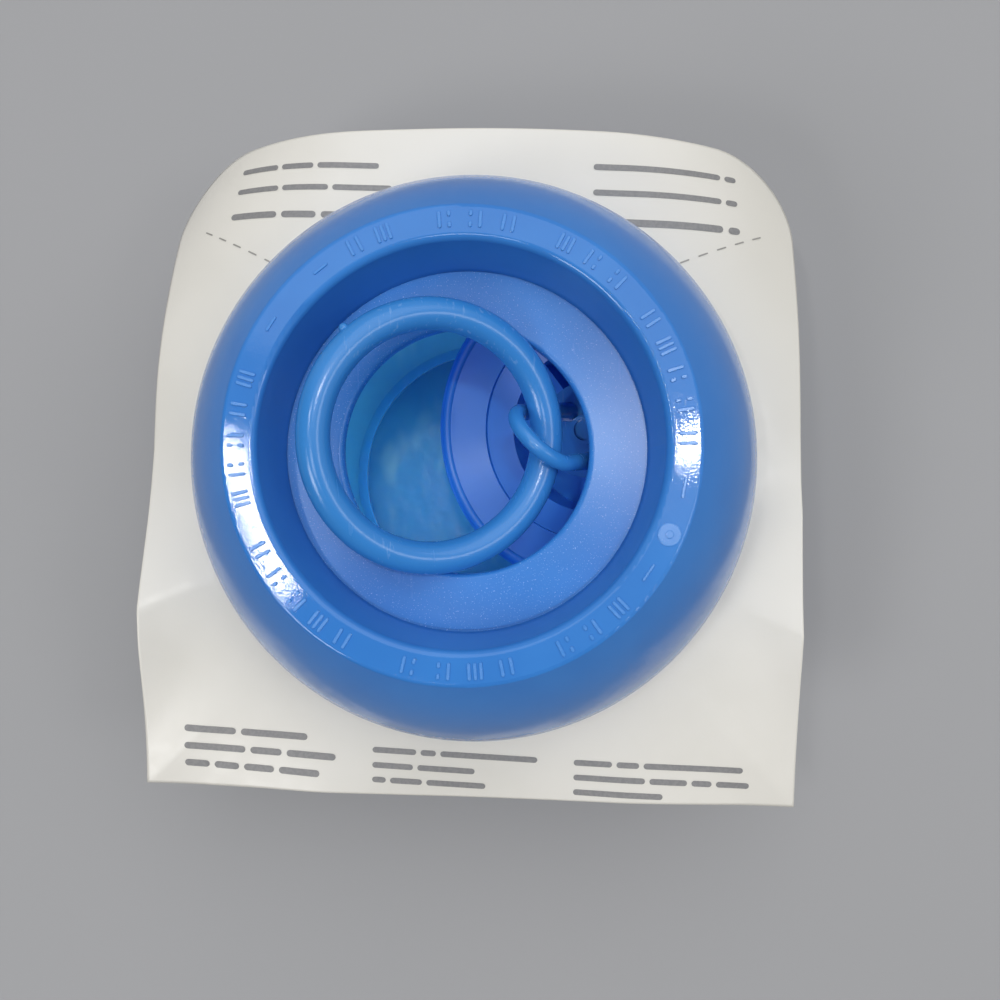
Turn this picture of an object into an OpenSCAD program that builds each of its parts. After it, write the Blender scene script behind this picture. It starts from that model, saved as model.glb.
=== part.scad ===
// Fabric softener ball: a hollow ball with a weighted stopper that hangs in its mouth from a pull ring.
// Millimetres. Z is the axis of the ball, and Z = 0 is the flat foot that it stands on.
// The solids are drawn as the ball lies in the photograph: stopper dropped, ring resting in the well.

/* [Ball] */
// Outer diameter of the ball
ball_d = 100; // [88:1:125]
// Wall of both halves
wall = 1.8; // [1.2:0.1:2.4]
// Diameter where the sphere meets the flat foot, before its edge is rounded
foot_d = 56; // [40:1:66]
// Outer diameter of the flat rim
rim_d = 72; // [70:1:80]
// Radius of the fillet from the rim into the well
shoulder_r = 1.2; // [0.6:0.1:1.6]
// Height of the groove under the equator that holds the card
slot_h = 1.2; // [0.8:0.1:2]
// Depth of that groove
slot_depth = 2.8; // [2:0.1:4]
// Length that the lower half reaches up into the upper half
socket_h = 6; // [4:0.5:9]

/* [Well and valve seat] */
// Diameter of the mouth, where the flat rim ends
mouth_d = 63.8; // [60:0.2:66]
// Diameter of the well at the valve seat
well_d = 58; // [50:0.5:59]
// Depth from the rim to the valve seat
well_depth = 11.5; // [9:0.5:14]
// Thickness of the valve seat
seat_t = 2; // [1.6:0.1:2.6]
// Diameter of the hole in the valve seat
hole_d = 39.6; // [37:0.2:42]

/* [Stopper] */
// Diameter over the sealing lip
lip_d = 55.2; // [50:0.2:57]
// Wall of the dish
dish_wall = 1.6; // [1.2:0.1:2]
// Diameter of the step in the dish
step_d = 39.2; // [37:0.2:42]
// Drop of the dish from the lip to the step
step_drop = 3.5; // [2.5:0.1:4.5]
// Diameter of the cavity in the middle
cavity_d = 29.5; // [26:0.5:32]
// Depth of the cavity floor below the lip
cavity_depth = 12; // [10:0.5:14]
// Number of ribs in the cavity
rib_count = 8; // [5:1:12]
// Thickness of a rib
rib_t = 1.2; // [0.8:0.1:1.8]
// Thickness of the steel slug in the chamber under the cavity
slug_t = 4.6; // [3:0.2:6]
// Lean of the hanging stopper
hang_lean = 26; // [18:1:28]
// Height that the stopper drops from its closed place
hang_drop = 13.1; // [11:0.1:15]
// Compass direction in which it hangs
hang_turn = 15; // [-30:1:60]

/* [Eye and pull ring] */
// Thickness of the rod that the eye is bent from
eye_rod = 2.6; // [2.2:0.1:3.2]
// Height of the top of the eye over the lip
eye_rise = 21.4; // [20:0.1:23]
// Room in the eye beside the rod of the ring
eye_play = 4; // [3.6:0.1:5]
// Turn of the eye on the stopper
eye_turn = -61; // [-70:1:-50]
// Outer diameter of the pull ring
ring_d = 43.2; // [40:0.2:46]
// Thickness of the pull ring
ring_t = 5.2; // [4.2:0.1:5.6]
// Lean of the ring as it lies on the seat
ring_lean = 25; // [22:0.5:28]
// Compass direction of its low side
ring_turn = -16; // [-20:1:-12]

/* [Card] */
// Width of the card
card_w = 120; // [110:1:150]
// Height of the card
card_h = 123.5; // [120:0.5:150]
// Thickness of the card
card_t = 0.5; // [0.3:0.05:0.7]
// Radius of its top edge
card_arch_r = 600; // [200:10:1200]
// Radius of its top corners
card_corner_r = 17; // [8:1:24]
// Radius of the bend beside the ball that lets its top corners hang
card_bend_r = 36; // [30:1:80]

/* [Hidden] */
$fn = 96;
// Gap between pieces that move past each other
gap = 0.3;
// Radius on small moulded edges
edge_r = 0.8;
// Overlap that joins two shapes of one piece
tie = 0.2;

// Ball
ball_r = ball_d / 2;
centre_h = sqrt(ball_r ^ 2 - (foot_d / 2) ^ 2);
rim_h = centre_h + sqrt(ball_r ^ 2 - (rim_d / 2) ^ 2);
foot_edge_r = 2.5;
foot_edge_x = sqrt((ball_r - foot_edge_r) ^ 2 - (centre_h - foot_edge_r) ^ 2);
foot_edge_top = centre_h - (centre_h - foot_edge_r) * ball_r / (ball_r - foot_edge_r);
rim_edge_x = sqrt((ball_r - edge_r) ^ 2 - (rim_h - edge_r - centre_h) ^ 2);
rim_edge_low = centre_h + (rim_h - edge_r - centre_h) * ball_r / (ball_r - edge_r);
neck_r = ball_r - slot_depth;
slot_floor = centre_h - slot_h;

// Well and valve seat
mouth_r = mouth_d / 2;
well_r = well_d / 2;
hole_r = hole_d / 2;
seat_top = rim_h - well_depth;
seat_bottom = seat_top - seat_t;
seat_ring_h = 3;
well_taper = (mouth_r - shoulder_r - well_r) / (well_depth - shoulder_r);
seat_ring_r = well_r + wall + max(1, well_taper * seat_ring_h + gap);
crease_w = 0.35;

// Stopper, measured down from the plane of its lip
lip_r = lip_d / 2;
lip_w = 1.1;
lip_groove = 0.5;
step_r = step_d / 2;
step_h = 0.8;
cavity_r = cavity_d / 2;
cavity_top = step_drop + step_h + 1.2;
dish_under = dish_wall + 0.4;
hub_r = 8.6;
hub_top = cavity_top - tie;
rib_low = 1.5;
chamber_r = cavity_r + dish_wall - tie;
chamber_top = cavity_depth + dish_wall;
chamber_bottom = chamber_top + slug_t + gap;
cap_t = 1.6;

// Eye
eye_r = (ring_t + eye_play + eye_rod) / 2;
eye_shift = 1.3;
eye_base_t = 1.2;
eye_foot_r = eye_rod * 0.68;
stud_r = 2.7;
stud_h = 1.2;
stud_wall = 0.8;
eye_bend_h = eye_rise - eye_rod / 2 - eye_r;

// Ring: its rod runs through the eye at the pivot
ring_r = (ring_d - ring_t) / 2;
pivot_skew = 2.4;
pivot_side = [0, -0.5];
pivot_rise = eye_rise - eye_rod - ring_t / 2 - pivot_skew;
pivot_turn = 15;
pivot_at = [
    eye_shift * cos(eye_turn) + pivot_side[0],
    eye_shift * sin(eye_turn) + pivot_side[1],
    pivot_rise
];
nub_r = 0.75;
nub_turn = 148;

// Place of the hanging stopper: its lip just clears the inside of the ball, or else the ring's rod in the
// eye keeps its play to the edge of the hole
closed_lip_h = seat_bottom - gap;
hang_h = closed_lip_h - hang_drop;
lip_high = hang_h - centre_h + lip_r * sin(hang_lean);
lip_reach = sqrt((ball_r - wall - 2 * gap) ^ 2 - lip_high ^ 2) - lip_r * cos(hang_lean);
rod_play = 4;
rod_reach = hole_r - ring_t / 2 - rod_play + pivot_rise * sin(hang_lean) - pivot_at[0] * cos(hang_lean);
hang_out = min(lip_reach, rod_reach);

// Card
card_turn = -1.3;
card_x = -1;
card_top_y = 62;
card_gap = 0.3;
card_hole_r = neck_r + card_gap;
card_bend_turn = 30;
card_reach = 200;
tear_slits = 5;
tear_slit = [1.9, 0.4];
tear_pitch = 3.7;
tear_rows = [[37.5, 37.6, 21.5], [-39.9, 36.9, 153.5]];

// A point given in the stopper's own frame, in the frame of the ball
function from_stopper(p) =
    let (out = p[0] * cos(hang_lean) - p[2] * sin(hang_lean) + hang_out)
    [
        out * cos(hang_turn) - p[1] * sin(hang_turn),
        out * sin(hang_turn) + p[1] * cos(hang_turn),
        hang_h + p[0] * sin(hang_lean) + p[2] * cos(hang_lean)
    ];

// A rectangle from corner a to corner b
module box2(a, b) {
    translate(a)
        square([b[0] - a[0], b[1] - a[1]]);
}

// The wall of the sphere in section, between two heights
module sphere_band(low, high) {
    intersection() {
        difference() {
            translate([0, centre_h])
                circle(r = ball_r);
            translate([0, centre_h])
                circle(r = ball_r - wall);
        }
        box2([0, low], [ball_r + 1, high]);
    }
}

// The tapered side of the well in section, down to the valve seat
module well_side() {
    top = [mouth_r - shoulder_r, rim_h - shoulder_r];
    polygon([
        top,
        [well_r, seat_top],
        [well_r + wall, seat_top],
        [top[0] + wall, top[1]]
    ]);
}

module rim_section() {
    box2([mouth_r, rim_h - wall], [rim_edge_x, rim_h]);
    translate([rim_edge_x, rim_h - edge_r])
        circle(r = edge_r);
    translate([mouth_r, rim_h - shoulder_r])
        circle(r = shoulder_r);
    box2([mouth_r - tie, rim_h - wall], [mouth_r + wall, rim_h - shoulder_r]);
}

// Upper half: dome, flat rim, well, and the socket for the lower half
module upper_shell() {
    color("steelblue")
        rotate_extrude() {
            sphere_band(centre_h, rim_edge_low);
            rim_section();
            well_side();
            intersection() {
                box2([neck_r, centre_h], [ball_r - tie, centre_h + socket_h]);
                translate([0, centre_h])
                    circle(r = ball_r);
            }
        }
}

// Lower half: bowl with a flat foot, the shoulder under the card and the neck above it
module lower_bowl() {
    color("skyblue")
        rotate_extrude() {
            sphere_band(foot_edge_top, slot_floor);
            intersection() {
                union() {
                    box2([0, 0], [foot_edge_x, wall]);
                    translate([foot_edge_x, foot_edge_r])
                        circle(r = foot_edge_r);
                }
                difference() {
                    box2([0, 0], [ball_r, foot_edge_top + foot_edge_r]);
                    translate([0, wall])
                        square([foot_edge_x - tie, foot_edge_r * 2]);
                }
            }
            intersection() {
                box2([neck_r - wall, slot_floor - wall], [ball_r, slot_floor]);
                translate([0, centre_h])
                    circle(r = ball_r);
            }
            box2([neck_r - wall, slot_floor - wall], [neck_r, centre_h + socket_h - gap]);
        }
}

// Valve seat: a flat ring bonded under the well, with the hole that the stopper closes
module valve_seat() {
    color("cornflowerblue")
        rotate_extrude()
            difference() {
                union() {
                    box2([hole_r + edge_r, seat_bottom], [seat_ring_r + wall, seat_top]);
                    box2([hole_r, seat_bottom], [hole_r + seat_t, seat_top - edge_r]);
                    translate([hole_r + edge_r, seat_top - edge_r])
                        circle(r = edge_r);
                    box2([seat_ring_r, seat_bottom], [seat_ring_r + wall, seat_top + seat_ring_h]);
                }
                box2([well_r - crease_w, seat_top - crease_w], [well_r, seat_top + 1]);
            }
}

// Places a piece of the stopper, drawn with its lip at Z = 0, where the stopper hangs
module hanging() {
    rotate([0, 0, hang_turn])
        translate([hang_out, 0, hang_h])
            rotate([0, -hang_lean, 0])
                children();
}

// The dish in section, from the lip in to the cavity wall and down to its floor
module dish_section() {
    lip_in = lip_r - 2 * lip_w;
    difference() {
        polygon([
            [0, -cavity_depth],
            [cavity_r, -cavity_depth],
            [cavity_r, -cavity_top],
            [step_r, -step_drop - step_h],
            [step_r, -step_drop],
            [lip_in, -lip_groove],
            [lip_r, -lip_groove],
            [lip_r, -dish_under],
            [step_r + dish_wall, -step_drop - dish_under],
            [cavity_r + dish_wall, -cavity_top - dish_under],
            [cavity_r + dish_wall, -chamber_top],
            [0, -chamber_top]
        ]);
        box2([lip_in, -2 * lip_groove], [lip_in + lip_w / 2, 0]);
    }
    translate([lip_r - lip_w, -lip_w])
        circle(r = lip_w);
}

// Stopper: dish with its sealing lip, ribbed cavity, hub for the eye and chamber for the weight
module stopper() {
    color("royalblue")
        hanging() {
            rotate_extrude()
                dish_section();
            for (i = [0 : rib_count - 1])
                rotate([0, 0, (i + 0.5) * 360 / rib_count])
                    translate([hub_r - tie, -rib_t / 2, -cavity_depth - tie])
                        cube([cavity_r - hub_r + 2 * tie, rib_t, cavity_depth - hub_top - rib_low]);
            translate([0, 0, -cavity_depth - tie])
                cylinder(r = hub_r, h = cavity_depth + tie - hub_top - eye_base_t);
            translate([0, 0, -chamber_bottom])
                difference() {
                    cylinder(r = chamber_r + tie, h = chamber_bottom - chamber_top + tie);
                    translate([0, 0, -1])
                        cylinder(r = chamber_r - dish_wall + tie, h = chamber_bottom - chamber_top + 1);
                }
        }
}

// Steel slug that weighs the stopper, sealed in the chamber under the cavity
module stopper_weight() {
    color("silver")
        hanging()
            translate([0, 0, -chamber_top - slug_t])
                cylinder(r = chamber_r - dish_wall - gap, h = slug_t);
}

// Cap that closes the chamber
module stopper_cap() {
    color("royalblue")
        hanging()
            translate([0, 0, -chamber_bottom - cap_t])
                rotate_extrude()
                    union() {
                        box2([0, 0], [chamber_r + tie - edge_r, cap_t]);
                        box2([0, edge_r], [chamber_r + tie, cap_t]);
                        translate([chamber_r + tie - edge_r, edge_r])
                            intersection() {
                                circle(r = edge_r);
                                box2([0, -edge_r], [edge_r, edge_r]);
                            }
                    }
}

// One leg of the eye, from its base up to the bend
module eye_leg(side) {
    translate([side * eye_r, 0, -hub_top - tie])
        cylinder(r1 = eye_foot_r, r2 = eye_rod / 2, h = eye_bend_h + hub_top + tie);
}

// Eye: the loop that the ring runs through, on a round base seated on the hub
module eye() {
    color("dodgerblue")
        hanging() {
            rotate([0, 0, eye_turn])
                translate([eye_shift, 0, 0]) {
                    translate([0, 0, eye_bend_h])
                        rotate([90, 0, 0])
                            rotate_extrude(angle = 180)
                                translate([eye_r, 0])
                                    circle(d = eye_rod);
                    eye_leg(-1);
                    eye_leg(1);
                }
            difference() {
                union() {
                    translate([0, 0, -hub_top - eye_base_t])
                        cylinder(r = hub_r, h = eye_base_t);
                    translate([0, 0, -hub_top - tie])
                        cylinder(r = stud_r, h = tie + stud_h);
                }
                translate([0, 0, -hub_top + stud_h / 2])
                    cylinder(r = stud_r - stud_wall, h = stud_h);
            }
        }
}

// Pull ring: its rod passes through the eye at the origin of this frame, tangent to Y
module pull_ring() {
    color("dodgerblue")
        translate(from_stopper(pivot_at))
            rotate([0, 0, ring_turn])
                rotate([0, ring_lean, 0])
                    rotate([0, 0, pivot_turn])
                        translate([-ring_r, 0, 0]) {
                            rotate_extrude()
                                translate([ring_r, 0])
                                    circle(d = ring_t);
                            rotate([0, 0, nub_turn - pivot_turn])
                                translate([ring_r + ring_t / 2, 0, 0])
                                    sphere(r = nub_r, $fn = 24);
                        }
}

// Outline of the card: straight sides and foot, arched top running into round corners
module card_outline() {
    half = card_w / 2;
    low = card_top_y - card_h;
    arch_y = card_top_y - card_arch_r;
    corner = [half - card_corner_r, arch_y + sqrt((card_arch_r - card_corner_r) ^ 2 - (half - card_corner_r) ^ 2)];
    wide = card_corner_r / (card_arch_r - card_corner_r) + 1;
    tangent = [corner[0] * wide, arch_y + (corner[1] - arch_y) * wide];
    box2([-half, low], [half, corner[1]]);
    intersection() {
        translate([0, arch_y])
            circle(r = card_arch_r);
        polygon([
            [-corner[0], corner[1]],
            [-tangent[0], tangent[1]],
            [-tangent[0], card_top_y + 1],
            [tangent[0], card_top_y + 1],
            tangent,
            corner
        ]);
    }
    for (side = [-1, 1])
        translate([side * corner[0], corner[1]])
            circle(r = card_corner_r);
}

// The sheet that one half of the card is cut from: flat as far as the ball reaches, then bent down
module card_sheet(side) {
    rotate([0, 0, 90 - side * (90 - card_bend_turn)])
        rotate([90, 0, 0])
            translate([0, 0, -card_reach])
                linear_extrude(2 * card_reach) {
                    box2([-card_reach, 0], [ball_r, card_t]);
                    translate([ball_r, -card_bend_r])
                        intersection() {
                            difference() {
                                circle(r = card_bend_r + card_t);
                                circle(r = card_bend_r);
                            }
                            square(card_bend_r + card_t);
                        }
                    translate([ball_r + card_bend_r, -card_bend_r])
                        box2([0, -card_reach], [card_t, 0]);
                }
}

// One row of slits from x, y at an angle, where the card tears open towards a top corner
module tear_row(row) {
    translate([row[0], row[1]])
        rotate(row[2])
            for (i = [0 : tear_slits - 1])
                translate([i * tear_pitch, 0])
                    square(tear_slit, center = true);
}

// Card round the ball, held in the groove under the equator
module card() {
    color("wheat")
        rotate([0, 0, card_turn])
            translate([0, 0, slot_floor])
                for (side = [-1, 1])
                    intersection() {
                        card_sheet(side);
                        translate([0, 0, -card_reach / 2])
                            linear_extrude(card_reach)
                                difference() {
                                    intersection() {
                                        translate([card_x, 0])
                                            card_outline();
                                        box2([min(0, side * card_reach), -card_reach],
                                            [max(0, side * card_reach), card_reach]);
                                    }
                                    circle(r = card_hole_r);
                                    for (row = tear_rows)
                                        tear_row(row);
                                }
                    }
}

upper_shell();
lower_bowl();
valve_seat();
stopper();
stopper_weight();
stopper_cap();
eye();
pull_ring();
card();
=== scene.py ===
"""Looks of the fabric softener ball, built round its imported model. Metres; Z = 0 is the foot of the ball."""

import math

import bpy
import bmesh
from mathutils import Matrix, Quaternion, Vector, noise


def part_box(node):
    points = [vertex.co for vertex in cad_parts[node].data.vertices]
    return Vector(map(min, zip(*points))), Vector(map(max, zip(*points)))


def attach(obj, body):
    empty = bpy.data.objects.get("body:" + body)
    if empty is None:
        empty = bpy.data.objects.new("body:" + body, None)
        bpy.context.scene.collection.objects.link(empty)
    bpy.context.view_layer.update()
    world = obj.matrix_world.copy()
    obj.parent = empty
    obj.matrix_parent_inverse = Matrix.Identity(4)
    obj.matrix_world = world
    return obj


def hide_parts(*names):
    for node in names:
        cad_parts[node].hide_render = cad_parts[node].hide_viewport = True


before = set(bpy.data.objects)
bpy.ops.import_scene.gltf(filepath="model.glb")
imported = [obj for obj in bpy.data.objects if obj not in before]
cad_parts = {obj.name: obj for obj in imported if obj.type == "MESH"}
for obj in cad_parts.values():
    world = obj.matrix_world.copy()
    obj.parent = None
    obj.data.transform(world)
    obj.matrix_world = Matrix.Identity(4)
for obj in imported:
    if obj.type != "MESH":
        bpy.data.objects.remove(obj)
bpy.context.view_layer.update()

MM = 0.001

# The camera of the photograph: where it is, and the ball's down axis as it sees it
CAMERA_AT = Vector((13.0, -14.25, 224.1)) * MM
BALL_DOWN = Vector((0.047, -0.039, -1.0)).normalized()
LENS = 36.0
SENSOR = 36.0


# Materials

PLASTIC_IOR = 1.49


def linear(hex_code):
    """The linear colour of an sRGB code such as "3f7fc9"."""
    out = []
    for i in (0, 2, 4):
        v = int(hex_code[i:i + 2], 16) / 255
        out.append(v / 12.92 if v <= 0.04045 else ((v + 0.055) / 1.055) ** 2.4)
    return (*out, 1.0)


class Nodes:
    """A material and short calls that add nodes to it. Its coordinates are object coordinates in metres."""

    def __init__(self, name, **sockets):
        self.material = bpy.data.materials.new(name)
        self.material.use_nodes = True
        self.tree = self.material.node_tree
        self.shader = self.tree.nodes["Principled BSDF"]
        self.coords = self.add("ShaderNodeTexCoord").outputs["Object"]
        self.set(**sockets)

    def add(self, kind, **settings):
        node = self.tree.nodes.new(kind)
        for key, value in settings.items():
            setattr(node, key, value)
        return node

    def link(self, source, target):
        self.tree.links.new(source, target)

    def set(self, **sockets):
        """Uniform values on the shader's own sockets, with _ for each space in their names."""
        for name, value in sockets.items():
            self.shader.inputs[name.replace("_", " ")].default_value = value

    def feed(self, value, socket):
        """A number or colour goes on the socket, anything else is linked to it."""
        if isinstance(value, (int, float, tuple)):
            socket.default_value = value
        else:
            self.link(value, socket)

    def noise(self, scale, detail=3.0, coords=None):
        node = self.add("ShaderNodeTexNoise")
        node.inputs["Scale"].default_value = scale
        node.inputs["Detail"].default_value = detail
        self.link(coords or self.coords, node.inputs["Vector"])
        return node.outputs["Fac"]

    def stretched(self, scale, turn=0.0):
        node = self.add("ShaderNodeMapping")
        node.inputs["Scale"].default_value = scale
        node.inputs["Rotation"].default_value = (0, 0, turn)
        self.link(self.coords, node.inputs["Vector"])
        return node.outputs["Vector"]

    def ramp(self, source, low, high, out_low=0.0, out_high=1.0):
        node = self.add("ShaderNodeMapRange", interpolation_type="SMOOTHSTEP")
        self.link(source, node.inputs["Value"])
        for name, value in (("From Min", low), ("From Max", high), ("To Min", out_low), ("To Max", out_high)):
            node.inputs[name].default_value = value
        return node.outputs["Result"]

    def math(self, operation, a, b=0.0):
        node = self.add("ShaderNodeMath", operation=operation)
        self.feed(a, node.inputs[0])
        self.feed(b, node.inputs[1])
        return node.outputs["Value"]

    def mix(self, factor, a, b):
        node = self.add("ShaderNodeMix", data_type="RGBA")
        for value, socket in ((factor, 0), (a, 6), (b, 7)):
            self.feed(value, node.inputs[socket])
        return node.outputs[2]

    def bump(self, height, distance, strength=1.0, under=None):
        node = self.add("ShaderNodeBump")
        node.inputs["Strength"].default_value = strength
        node.inputs["Distance"].default_value = distance
        self.link(height, node.inputs["Height"])
        if under is not None:
            self.link(under, node.inputs["Normal"])
        self.link(node.outputs["Normal"], self.shader.inputs["Normal"])
        return node.outputs["Normal"]

    def color(self, value):
        self.feed(value, self.shader.inputs["Base Color"])

    def roughness(self, value):
        self.feed(value, self.shader.inputs["Roughness"])

    def xyz(self):
        node = self.add("ShaderNodeSeparateXYZ")
        self.link(self.coords, node.inputs["Vector"])
        return node.outputs

    def radius(self):
        """Distance from the axis of the ball."""
        x, y, _ = self.xyz()
        return self.math("SQRT", self.math("ADD", self.math("MULTIPLY", x, x), self.math("MULTIPLY", y, y)))

    def clouds(self, deep, base):
        """Soft clouds between two tones of a moulded plastic."""
        return self.mix(self.ramp(self.noise(60, 4), 0.35, 0.7), linear(deep), linear(base))

    def scuffed(self, rough, scuffs):
        """Roughness with thin scuffs in patches."""
        scratch = self.noise(900, 2, coords=self.stretched((1.0, 0.08, 1.0), 0.6))
        worn = self.math("MULTIPLY", self.ramp(scratch, 0.62, 0.74), self.ramp(self.noise(90, 3), 0.48, 0.62))
        self.roughness(self.math("ADD", self.math("MULTIPLY", worn, scuffs), rough))


def shell_material():
    """Upper half: smooth sides, and a polished rim with a fine grain."""
    n = Nodes("shell_plastic", IOR=PLASTIC_IOR, Specular_IOR_Level=0.42)
    n.color(n.clouds("357ac8", "3980ce"))
    rim_from, rim_to = 75.2 * MM, 75.9 * MM
    on_rim = n.ramp(n.xyz()[2], rim_from, rim_to)
    smears = n.math("MULTIPLY", n.ramp(n.noise(900, 3), 0.45, 0.7), 0.05)
    n.roughness(n.math("ADD", smears, n.ramp(on_rim, 0, 1, 0.17, 0.03)))
    waves = n.bump(n.noise(260, 2), 0.007 * MM)
    n.bump(n.math("MULTIPLY", n.noise(2600, 2), on_rim), 0.006 * MM, under=waves)
    return n.material


def mark_material():
    """Raised marks of the rim: duller than the polished rim round them."""
    n = Nodes("mark_plastic", IOR=PLASTIC_IOR)
    n.color(n.mix(n.noise(900, 3), linear("3b82cf"), linear("4087d4")))
    n.roughness(n.ramp(n.noise(1500, 2), 0.3, 0.7, 0.18, 0.28))
    return n.material


def bowl_material():
    """Lower half: a plastic that lets light through, with pale streaks and a painted highlight along the top of
    its neck.
    """
    n = Nodes("bowl_plastic", IOR=PLASTIC_IOR)
    n.set(Subsurface_Weight=1.0, Subsurface_Radius=(0.35, 0.75, 1.0), Subsurface_Scale=26 * MM)
    n.scuffed(0.3, 0.1)
    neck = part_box("lower_bowl")[1].z
    # Painted highlight: a pale band just under the top of the neck, in place of the light on its rounded edge
    edge = n.ramp(n.xyz()[2], neck - 1.4 * MM, neck - 0.2 * MM)
    streak = n.ramp(n.noise(110, 2, coords=n.stretched((1, 0.5, 0.08))), 0.52, 0.74, 0, 0.3)
    pale = n.math("MAXIMUM", n.math("MULTIPLY", edge, 0.7), streak)
    n.color(n.mix(pale, n.clouds("3a84d8", "4390e0"), linear("a4cdf0")))
    n.bump(n.noise(160, 2, coords=n.stretched((1, 1, 0.1))), 0.3 * MM, 0.6)
    return n.material


def seat_material():
    """Seat: turned in its mould, so that light streaks across its rings, with tiny pale specks painted in as
    sparkle.
    """
    n = Nodes("seat_plastic", IOR=PLASTIC_IOR)
    n.set(Anisotropic=0.6, Anisotropic_Rotation=0.25, Specular_IOR_Level=0.4)
    n.scuffed(0.26, 0.08)
    # Painted glints: tiny pale specks in the base colour stand in for sparkle off the surface
    painted_sparkle = n.ramp(n.noise(4600, 1), 0.66, 0.74)
    n.color(n.mix(painted_sparkle, n.clouds("2f7aca", "3381d1"), linear("78a8e2")))
    tangent = n.add("ShaderNodeTangent", direction_type="RADIAL", axis="Z")
    n.link(tangent.outputs["Tangent"], n.shader.inputs["Tangent"])
    rings = n.add("ShaderNodeTexNoise", noise_dimensions="1D")
    rings.inputs["Scale"].default_value = 2500
    n.link(n.radius(), rings.inputs["W"])
    turned_marks = n.bump(rings.outputs["Fac"], 0.01 * MM)
    n.bump(n.noise(6000, 2), 0.006 * MM, under=turned_marks)
    return n.material


def stopper_material():
    """Stopper and its cap: soft plastic with a satin face."""
    n = Nodes("stopper_plastic", IOR=PLASTIC_IOR)
    n.color(n.clouds("3088e4", "3690ee"))
    n.scuffed(0.34, 0.1)
    n.bump(n.noise(1500, 2), 0.006 * MM)
    return n.material


def ring_material():
    """Ring and eye: glossy, with rubbed patches."""
    n = Nodes("ring_plastic", IOR=PLASTIC_IOR)
    n.scuffed(0.2, 0.3)
    scratch = n.noise(1500, 3, coords=n.stretched((1, 0.15, 1), 0.9))
    rubbed = n.math("MULTIPLY", n.ramp(scratch, 0.58, 0.72), n.ramp(n.noise(70, 2), 0.5, 0.62))
    n.color(n.mix(n.math("MULTIPLY", rubbed, 0.3), linear("3683cc"), linear("8fb6e4")))
    n.bump(n.noise(1300, 2), 0.02 * MM)
    return n.material


def weight_material():
    """Turned steel of the slug inside the stopper."""
    n = Nodes("weight_steel", Metallic=1.0)
    n.color(n.mix(n.noise(300, 3), linear("9b9da2"), linear("b4b6bb")))
    n.roughness(n.ramp(n.noise(800, 2, coords=n.stretched((1, 1, 12))), 0.3, 0.7, 0.25, 0.45))
    return n.material


def card_material():
    """Coated cream card: faint mottling, and a sheen that follows its small waves."""
    n = Nodes("card_board")
    n.color(n.mix(n.ramp(n.noise(25, 4), 0.3, 0.7), linear("dcd8ce"), linear("e3dfd6")))
    n.roughness(n.ramp(n.noise(400, 3), 0.3, 0.7, 0.3, 0.38))
    fibres = n.bump(n.noise(1500, 3), 0.01 * MM)
    n.bump(n.noise(35, 3), 0.25 * MM, under=fibres)
    return n.material


def ink_material(name, code):
    """Grey ink, a little worn in spots; also the grey of the tear dashes, which is painted shade in place of
    cut slits.
    """
    n = Nodes(name, Roughness=0.45)
    worn = n.ramp(n.noise(1800, 2), 0.35, 0.65, 0, 0.35)
    n.color(n.mix(worn, linear(code), linear("9a9895")))
    return n.material


def paint(node, material):
    """Gives a CAD node its material."""
    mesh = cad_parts[node].data
    mesh.materials.clear()
    mesh.materials.append(material)


def piece(name, verts, faces, material, slot, body="ball", smooth=True):
    """A new object of the given points in millimetres, riding on a body."""
    mesh = bpy.data.meshes.new(name)
    mesh.from_pydata([tuple(c * MM for c in v) for v in verts], [], faces)
    mesh.update()
    bm = bmesh.new()
    bm.from_mesh(mesh)
    bmesh.ops.recalc_face_normals(bm, faces=bm.faces)
    bm.to_mesh(mesh)
    bm.free()
    if smooth:
        mesh.shade_smooth()
    mesh.materials.append(material)
    obj = bpy.data.objects.new(name, mesh)
    bpy.context.scene.collection.objects.link(obj)
    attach(obj, body)
    return obj


def merged(parts):
    """One list of points and faces out of many."""
    verts = []
    faces = []
    for v, f in parts:
        base = len(verts)
        verts += v
        faces += [tuple(i + base for i in face) for face in f]
    return verts, faces


# The card, in millimetres and in its own plane before it is turned on the ball

CARD_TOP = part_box("card")[1].z / MM
CARD_HOLE_R = 47.5
CARD_HOLE_PLAY = 0.3
CARD_T = 0.5
CARD_X = -1.0
CARD_HALF = 60.0
CARD_LOW = -61.5
CARD_Y = 62.0
CARD_ARCH_R = 600.0
CARD_CORNER_R = 17.0
CARD_TURN = math.radians(-1.3)
CARD_RINGS = 48
# Points along the outline: foot, side, corner and arch
FOOT_STEPS = 96
SIDE_STEPS = 84
CORNER_STEPS = 24
ARCH_STEPS = 72

# Top corners that bend down, beyond a distance from the axis: compass direction and radius of the bend
BEND_FROM = 50.0
BENDS = ((30, 38.0), (150, 34.0))
# Rise of the card's edge over its plane: compass direction, half width in degrees and height, sharp or round
FOLDS = ((205, 26, 4.2), (333, 24, 3.6), (352, 14, 1.2), (232, 16, 1.0))
SAGS = ((270, 40, -1.6), (90, 50, 0.8), (185, 22, -1.2), (228, 20, -5.0), (313, 20, -2.5))
RIPPLE = 0.5
RIPPLE_SCALE = 0.045


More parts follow.
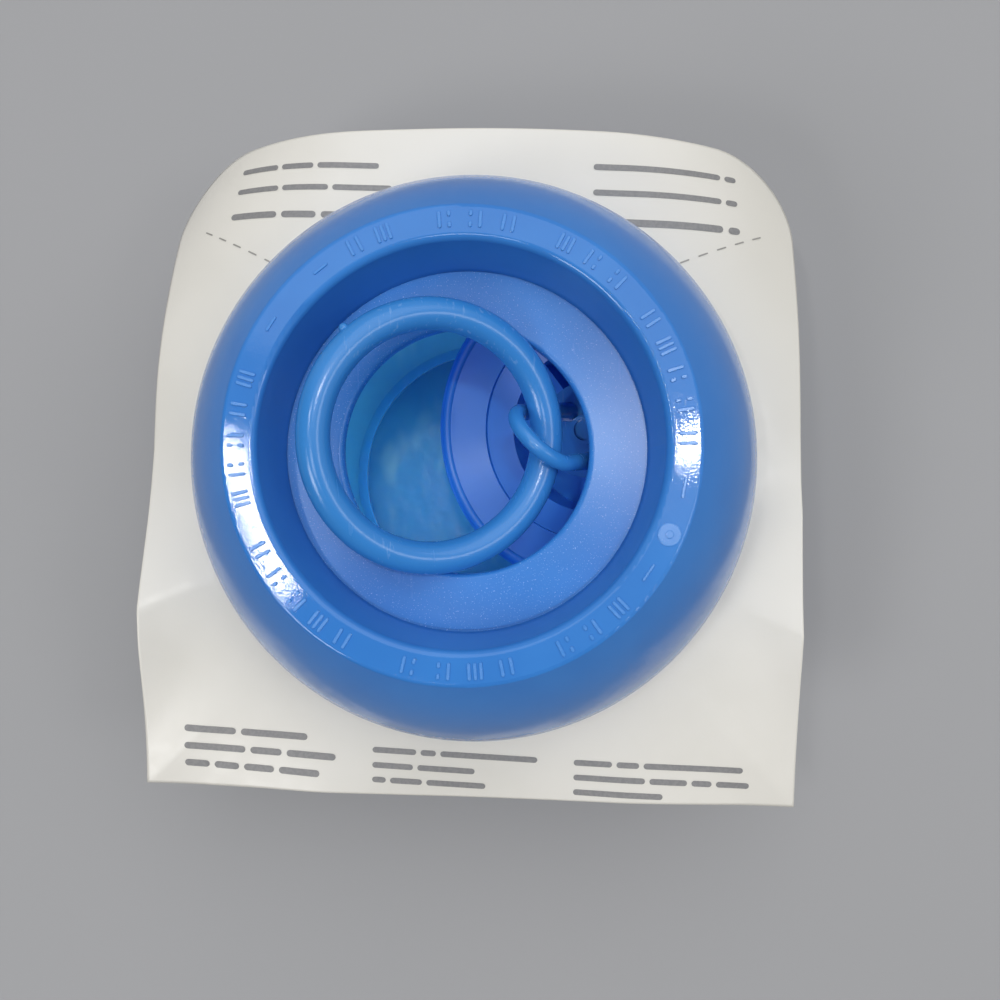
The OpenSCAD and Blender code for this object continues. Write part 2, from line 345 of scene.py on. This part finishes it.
def card_outline():
    """Points round the card, from its lower left corner to the right."""
    corner_x = CARD_HALF - CARD_CORNER_R
    arch_y = CARD_Y - CARD_ARCH_R
    reach = CARD_ARCH_R - CARD_CORNER_R
    corner_y = arch_y + math.sqrt(reach ** 2 - corner_x ** 2)
    lean = math.atan2(corner_x, corner_y - arch_y)
    quarter = math.pi / 2 - lean
    foot = [(-CARD_HALF + 2 * CARD_HALF * i / FOOT_STEPS, CARD_LOW) for i in range(FOOT_STEPS)]
    right = [(CARD_HALF, CARD_LOW + (corner_y - CARD_LOW) * i / SIDE_STEPS) for i in range(SIDE_STEPS)]
    left = [(-CARD_HALF, corner_y + (CARD_LOW - corner_y) * i / SIDE_STEPS) for i in range(SIDE_STEPS)]

    def arc(cx, cy, r, start, sweep, steps):
        turns = [start + sweep * i / steps for i in range(steps)]
        return [(cx + r * math.cos(a), cy + r * math.sin(a)) for a in turns]

    right_corner = arc(corner_x, corner_y, CARD_CORNER_R, 0, quarter, CORNER_STEPS)
    arch = arc(0, arch_y, CARD_ARCH_R, quarter, 2 * lean, ARCH_STEPS)
    left_corner = arc(-corner_x, corner_y, CARD_CORNER_R, math.pi / 2 + lean, quarter, CORNER_STEPS)
    return [(x + CARD_X, y) for x, y in foot + right + right_corner + arch + left_corner + left]


OUTLINE = card_outline()


def apart(a, b):
    """Degrees between two compass directions."""
    return abs((a - b + 180) % 360 - 180)


def card_edge(angle):
    """Distance from the axis to the card's edge in a direction."""
    near = sorted(OUTLINE, key=lambda p: apart(math.degrees(math.atan2(p[1], p[0])), angle))[:2]
    return sum(math.hypot(*p) for p in near) / 2


def card_height(x, y, edge):
    """Height of the bent and creased card over its plane."""
    angle = math.degrees(math.atan2(y, x))
    out = min(1.0, max(0.0, (math.hypot(x, y) - BEND_FROM) / (edge - BEND_FROM)))
    rise = 0.0
    for turn, bend_r in BENDS:
        s = x * math.cos(math.radians(turn)) + y * math.sin(math.radians(turn)) - BEND_FROM
        if s > 0:
            rise -= bend_r - math.sqrt(max(bend_r ** 2 - s ** 2, 0.0))
    for turn, width, height in FOLDS:
        k = max(0.0, 1 - apart(angle, turn) / width)
        rise += height * out ** 1.2 * (0.6 * k + 0.4 * k * k)
    for turn, width, height in SAGS:
        k = max(0.0, 1 - (apart(angle, turn) / width) ** 2)
        rise += height * out ** 1.5 * k * k
    return rise + RIPPLE * out * noise.noise(Vector((x, y, 0.0)) * RIPPLE_SCALE)


def turned(x, y, z):
    """A point of the card, turned as the card sits on the ball."""
    cos, sin = math.cos(CARD_TURN), math.sin(CARD_TURN)
    return (x * cos - y * sin, x * sin + y * cos, z)


def make_card(material):
    """The card as a bent and creased sheet with a round hole."""
    inner = CARD_HOLE_R + CARD_HOLE_PLAY
    verts = []
    for px, py in OUTLINE:
        far = math.hypot(px, py)
        for j in range(CARD_RINGS + 1):
            r = inner + (far - inner) * (j / CARD_RINGS)
            x, y = px / far * r, py / far * r
            verts.append(turned(x, y, CARD_TOP + card_height(x, y, far)))
    faces = []
    row = CARD_RINGS + 1
    for i in range(len(OUTLINE)):
        k = (i + 1) % len(OUTLINE)
        for j in range(CARD_RINGS):
            faces.append((i * row + j, i * row + j + 1, k * row + j + 1, k * row + j))
    card = piece("card_sheet", verts, faces, material, "card")
    solid = card.modifiers.new("thickness", "SOLIDIFY")
    solid.thickness = CARD_T * MM
    solid.offset = -1
    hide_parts("card")


# Lines of print as plain bars: start, end and height in the card's plane, and where a line breaks
PRINT = (
    ((-53.5, -50.6), (-30.0, -51.4), 1.5, (0.44,)),
    ((-53.5, -53.9), (-24.6, -54.9), 1.5, (0.42, 0.66)),
    ((-53.5, -57.2), (-27.6, -58.1), 1.5, (0.2, 0.42, 0.68)),
    ((-17.8, -53.2), (12.4, -54.2), 1.25, (0.28, 0.4)),
    ((-17.8, -56.0), (1.0, -56.7), 1.25, (0.42,)),
    ((-17.8, -58.7), (3.0, -59.4), 1.25, (0.14, 0.46)),
    ((19.0, -54.4), (49.6, -55.1), 1.25, (0.24, 0.4)),
    ((19.0, -57.1), (50.8, -57.9), 1.25, (0.42, 0.66, 0.8)),
    ((19.0, -59.8), (35.2, -60.2), 1.25, ()),
    ((-47.0, 55.6), (-19.5, 55.0), 1.25, (0.3, 0.56)),
    ((-47.6, 51.4), (-17.0, 50.8), 1.25, (0.3, 0.62)),
    ((-48.4, 46.2), (-19.0, 45.6), 1.5, (0.34, 0.6)),
    ((20.5, 55.0), (47.4, 54.2), 1.3, (0.9,)),
    ((20.5, 50.3), (47.6, 49.4), 1.3, (0.9,)),
    ((20.5, 44.9), (48.0, 43.9), 1.6, (0.9,)),
)
PRINT_LIFT = 0.08
PRINT_STEP = 0.8

# Rows of tear slits: the middle of the first slit, and the direction of the row
TEARS = ((37.5, 37.6, 21.5), (-39.9, 36.9, 153.5))
SLITS = 5
SLIT_PITCH = 3.7
SLIT_HALF = 0.95
SLIT_WIDTH = 0.34


def strip(start, end, height):
    """A flat bar with round ends just over the card, following its bend."""
    a, b = Vector(start), Vector(end)
    along = (b - a).normalized()
    across = Vector((-along.y, along.x))
    length = (b - a).length
    half = height * 0.42
    steps = max(6, int(length / PRINT_STEP))
    stops = [0.0, half * 0.15, half * 0.5] + [half + (length - 2 * half) * i / steps for i in range(steps + 1)]
    stops += [length - half * 0.5, length - half * 0.15, length]
    verts = []
    for s in stops:
        end_gap = min(s, length - s)
        wide = half if end_gap >= half else math.sqrt(max(half ** 2 - (half - end_gap) ** 2, 0.0))
        for side in (-1, 1):
            p = a + along * s + across * side * max(wide, 0.02)
            edge = card_edge(math.degrees(math.atan2(p.y, p.x)))
            verts.append(turned(p.x, p.y, CARD_TOP + PRINT_LIFT + card_height(p.x, p.y, edge)))
    faces = [(2 * i, 2 * i + 1, 2 * i + 3, 2 * i + 2) for i in range(len(stops) - 1)]
    return verts, faces


def make_print(material):
    """Bars in place of lines of print, cut where words would break."""
    parts = []
    for start, end, height, breaks in PRINT:
        a, b = Vector(start), Vector(end)
        pad = height * 0.32 / (b - a).length
        cuts = [0.0, *breaks, 1.0]
        for low, high in zip(cuts, cuts[1:]):
            first = low + (pad if low > 0 else 0)
            last = high - (pad if high < 1 else 0)
            parts.append(strip(a.lerp(b, first), a.lerp(b, last), height))
    piece("card_bars", *merged(parts), material, "card")


def make_tears(material):
    """Short grey dashes where the card tears: painted shade in place of cut slits."""
    parts = []
    for x, y, turn in TEARS:
        way = Vector((math.cos(math.radians(turn)), math.sin(math.radians(turn))))
        for i in range(SLITS):
            middle = Vector((x, y)) + way * SLIT_PITCH * i
            parts.append(strip(middle - way * SLIT_HALF, middle + way * SLIT_HALF, SLIT_WIDTH))
    piece("card_tear_lines", *merged(parts), material, "card")


# Raised marks on the rim, in millimetres: groups of plain bars and dots, by direction round it

RIM_H = 76.12
RIM_MID_R = 33.85
MARK_GROUPS = (
    (118, 110), (94, 86, 77.5), (62, 54, 46), (33, 25, 17.5, 9.5, 1),
    (-46, -54.5, -62.5), (-78, -86, -94, -103), (-121, -128.5, -136, -144, -152), (-166, -173.5, 179, 171, 163),
)
# Each mark is a set of bars that point outward: offset along the rim, offset outward, and length
MARKS = (
    ((-0.75, 0, 2.6), (0.75, 0, 2.6)),
    ((-0.9, 0, 2.6), (0, 0, 2.6), (0.9, 0, 2.6)),
    ((-0.75, 0.85, 0.9), (-0.75, -0.85, 0.9), (0.75, 0, 2.6)),
    ((-0.75, 0, 2.6), (0.75, 0.85, 0.9), (0.75, -0.85, 0.9)),
)
MARK_HALF = 0.27
MARK_RISE = 0.2
MARK_BEVEL = 0.08
# Dashes that lie along the rim: direction and length
DASHES = ((147.5, 2.6), (128.5, 2.6), (-11.5, 3.0), (-34.5, 3.0))
DASH_HALF = 0.22
PLUG_TURN = math.radians(-23.7)
PLUG_RISE = 0.1


def raised(points, tops, z, rise):
    """A low mound from a base loop to a smaller top loop."""
    count = len(points)
    verts = [(x, y, z - 0.05) for x, y in points]
    verts += [(x, y, z + rise * 0.75) for x, y in points]
    verts += [(x, y, z + rise) for x, y in tops]
    faces = []
    for level in (0, count):
        for i in range(count):
            k = (i + 1) % count
            faces.append((level + i, level + k, level + count + k, level + count + i))
    faces.append(tuple(range(2 * count, 3 * count)))
    return verts, faces


def stadium(cx, cy, turn, length, half):
    """Outline of a bar with round ends."""
    way = math.radians(turn)
    out = []
    for end, first in ((-1, turn + 90), (1, turn - 90)):
        reach = end * (length / 2 - half)
        for i in range(8):
            a = math.radians(first + 180 * i / 7)
            out.append((cx + reach * math.cos(way) + half * math.cos(a), cy + reach * math.sin(way) + half * math.sin(a)))
    return out


def circle(cx, cy, r, count=40):
    turns = [2 * math.pi * i / count for i in range(count)]
    return [(cx + r * math.cos(a), cy + r * math.sin(a)) for a in turns]


def rim_bar(angle, along, outward, length, turn, half):
    """One raised bar of the rim, at an angle round it and turned from pointing outward."""
    a = math.radians(angle)
    r = RIM_MID_R + outward
    cx = r * math.cos(a) - along * math.sin(a)
    cy = r * math.sin(a) + along * math.cos(a)
    base = stadium(cx, cy, angle + turn, length, half)
    top = stadium(cx, cy, angle + turn, length - 2 * MARK_BEVEL, half - MARK_BEVEL)
    return raised(base, top, RIM_H, MARK_RISE)


def make_rim_marks(material):
    """Bars, dots, dashes and a small round plug on the rim."""
    parts = []
    angles = [angle for group in MARK_GROUPS for angle in group]
    for at, angle in enumerate(angles):
        for along, outward, length in MARKS[at % len(MARKS)]:
            parts.append(rim_bar(angle, along, outward, length, 0, MARK_HALF))
    for angle, length in DASHES:
        parts.append(rim_bar(angle, 0, 0, length, 90, DASH_HALF))
    cx, cy = RIM_MID_R * math.cos(PLUG_TURN), RIM_MID_R * math.sin(PLUG_TURN)
    parts.append(raised(circle(cx, cy, 1.75), circle(cx, cy, 1.6), RIM_H, PLUG_RISE))
    parts.append(raised(circle(cx, cy, 0.62, 24), circle(cx, cy, 0.5, 24), RIM_H + PLUG_RISE, PLUG_RISE))
    piece("rim_marks", *merged(parts), material, "shell", smooth=False)


# The studio

FLOOR_SIZE = 4
# Soft lamps in metres: name, place, width and height, power and turn. The first three give the highlights
# on the left and right of the rim and on the seat, the fourth the line of light round the ring.
LAMPS = (
    ("lamp_left", (-0.452, 0.022, 1.5), (0.026, 0.27), 1.8, -70),
    ("lamp_right", (0.24, 0.133, 1.5), (0.026, 0.055), 0.7, 52),
    ("lamp_seat", (0.115, 0.145, 1.5), (0.06, 0.06), 2.0, 0),
    ("lamp_ring", (1.26, -0.22, 1.5), (0.4, 0.4), 2.0, 0),
    ("lamp_over", (-0.15, -0.45, 1.5), (0.3, 0.3), 1.6, 0),
    ("lamp_side", (-0.72, -0.62, 1.05), (0.4, 0.4), 4.0, 0),
    ("lamp_above", (0.25, 0.55, 1.15), (1.2, 1.2), 4.8, 0),
)
LAMPS_AIM_AT = Vector((0, 0, 0.05))
# Light of the surroundings: dim on one side of the ball, brighter in this direction, and fading to the horizon
SKY_TOWARD = (0.5, 0.85, 0)
SKY_COLOR = (0.93, 0.96, 1.0, 1)
SKY_SIDES = (("From Min", -0.25), ("From Max", 0.12), ("To Min", 0.16), ("To Max", 0.72))
SKY_HEIGHTS = (("From Min", 0.0), ("From Max", 0.9), ("To Min", 0.5), ("To Max", 1.0))
BACKDROP = 0.62


def make_camera():
    camera = bpy.data.cameras.new("camera")
    camera.lens = LENS
    camera.sensor_width = SENSOR
    camera.clip_start = 0.01
    camera.clip_end = 10
    holder = bpy.data.objects.new("camera", camera)
    bpy.context.scene.collection.objects.link(holder)
    up = -BALL_DOWN
    right = (Vector((1, 0, 0)) - up * up.x).normalized()
    back = up.cross(right)
    holder.matrix_world = Matrix.Translation(CAMERA_AT) @ Matrix((right, back, up)).to_4x4()
    bpy.context.scene.camera = holder


def make_floor():
    bpy.ops.mesh.primitive_plane_add(size=FLOOR_SIZE, location=(0, 0, 0))
    floor = bpy.context.object
    floor.name = "floor"
    n = Nodes("floor_paper", Roughness=0.8)
    n.color(n.mix(n.noise(8, 3), linear("9e9e9f"), linear("a3a2a3")))
    floor.data.materials.append(n.material)


def make_world():
    """Surroundings that light the object unevenly, and that the camera sees as a plain pale backdrop."""
    world = bpy.data.worlds.new("world")
    bpy.context.scene.world = world
    world.use_nodes = True
    tree = world.node_tree

    def node(kind, values=(), **settings):
        new = tree.nodes.new(kind)
        for name, value in settings.items():
            setattr(new, name, value)
        for name, value in values:
            new.inputs[name].default_value = value
        return new

    way = node("ShaderNodeTexCoord").outputs["Generated"]
    toward = node("ShaderNodeVectorMath", ((1, SKY_TOWARD),), operation="DOT_PRODUCT")
    tree.links.new(way, toward.inputs[0])
    sides = node("ShaderNodeMapRange", SKY_SIDES, interpolation_type="SMOOTHSTEP")
    tree.links.new(toward.outputs["Value"], sides.inputs["Value"])
    parts = node("ShaderNodeSeparateXYZ")
    tree.links.new(way, parts.inputs["Vector"])
    heights = node("ShaderNodeMapRange", SKY_HEIGHTS)
    tree.links.new(parts.outputs["Z"], heights.inputs["Value"])
    level = node("ShaderNodeMath", operation="MULTIPLY")
    tree.links.new(sides.outputs["Result"], level.inputs[0])
    tree.links.new(heights.outputs["Result"], level.inputs[1])
    shown = node("ShaderNodeMix", ((3, BACKDROP),), data_type="FLOAT")
    tree.links.new(node("ShaderNodeLightPath").outputs["Is Camera Ray"], shown.inputs[0])
    tree.links.new(level.outputs["Value"], shown.inputs[2])
    background = tree.nodes["Background"]
    background.inputs["Color"].default_value = SKY_COLOR
    tree.links.new(shown.outputs[0], background.inputs["Strength"])


def make_inner_lamp():
    """Stands in for the daylight that comes through the wall of the lower half."""
    light = bpy.data.lights.new("lamp_inner", "POINT")
    light.shadow_soft_size = 8 * MM
    light.energy = 0.022
    light.color = (0.38, 0.8, 1.0)
    holder = bpy.data.objects.new("lamp_inner", light)
    holder.location = (-14 * MM, -5 * MM, 23 * MM)
    holder.visible_camera = False
    holder.visible_glossy = False
    bpy.context.scene.collection.objects.link(holder)


def make_lamp(name, at, size, power, turn):
    light = bpy.data.lights.new(name, "AREA")
    light.shape = "RECTANGLE"
    light.size, light.size_y = size
    light.energy = power
    holder = bpy.data.objects.new(name, light)
    holder.location = at
    aim = (LAMPS_AIM_AT - Vector(at)).to_track_quat("-Z", "Y")
    holder.rotation_euler = (Quaternion((0, 0, 1), math.radians(turn)) @ aim).to_euler()
    bpy.context.scene.collection.objects.link(holder)


make_camera()
make_floor()
make_world()
make_inner_lamp()
for lamp in LAMPS:
    make_lamp(*lamp)

stopper_plastic = stopper_material()
ring_plastic = ring_material()
card_board = card_material()
for part, material in (
    ("upper_shell", shell_material()),
    ("lower_bowl", bowl_material()),
    ("valve_seat", seat_material()),
    ("stopper", stopper_plastic),
    ("stopper_cap", stopper_plastic),
    ("stopper_weight", weight_material()),
    ("eye", ring_plastic),
    ("pull_ring", ring_plastic),
    ("card", card_board),
):
    paint(part, material)
make_card(card_board)
make_print(ink_material("card_ink", "828181"))
# Painted shade: grey dashes stand in for the dark of the cut tear slits
make_tears(ink_material("card_slit_painted_shade", "98958e"))
make_rim_marks(mark_material())

bpy.context.scene.view_settings.view_transform = "Standard"
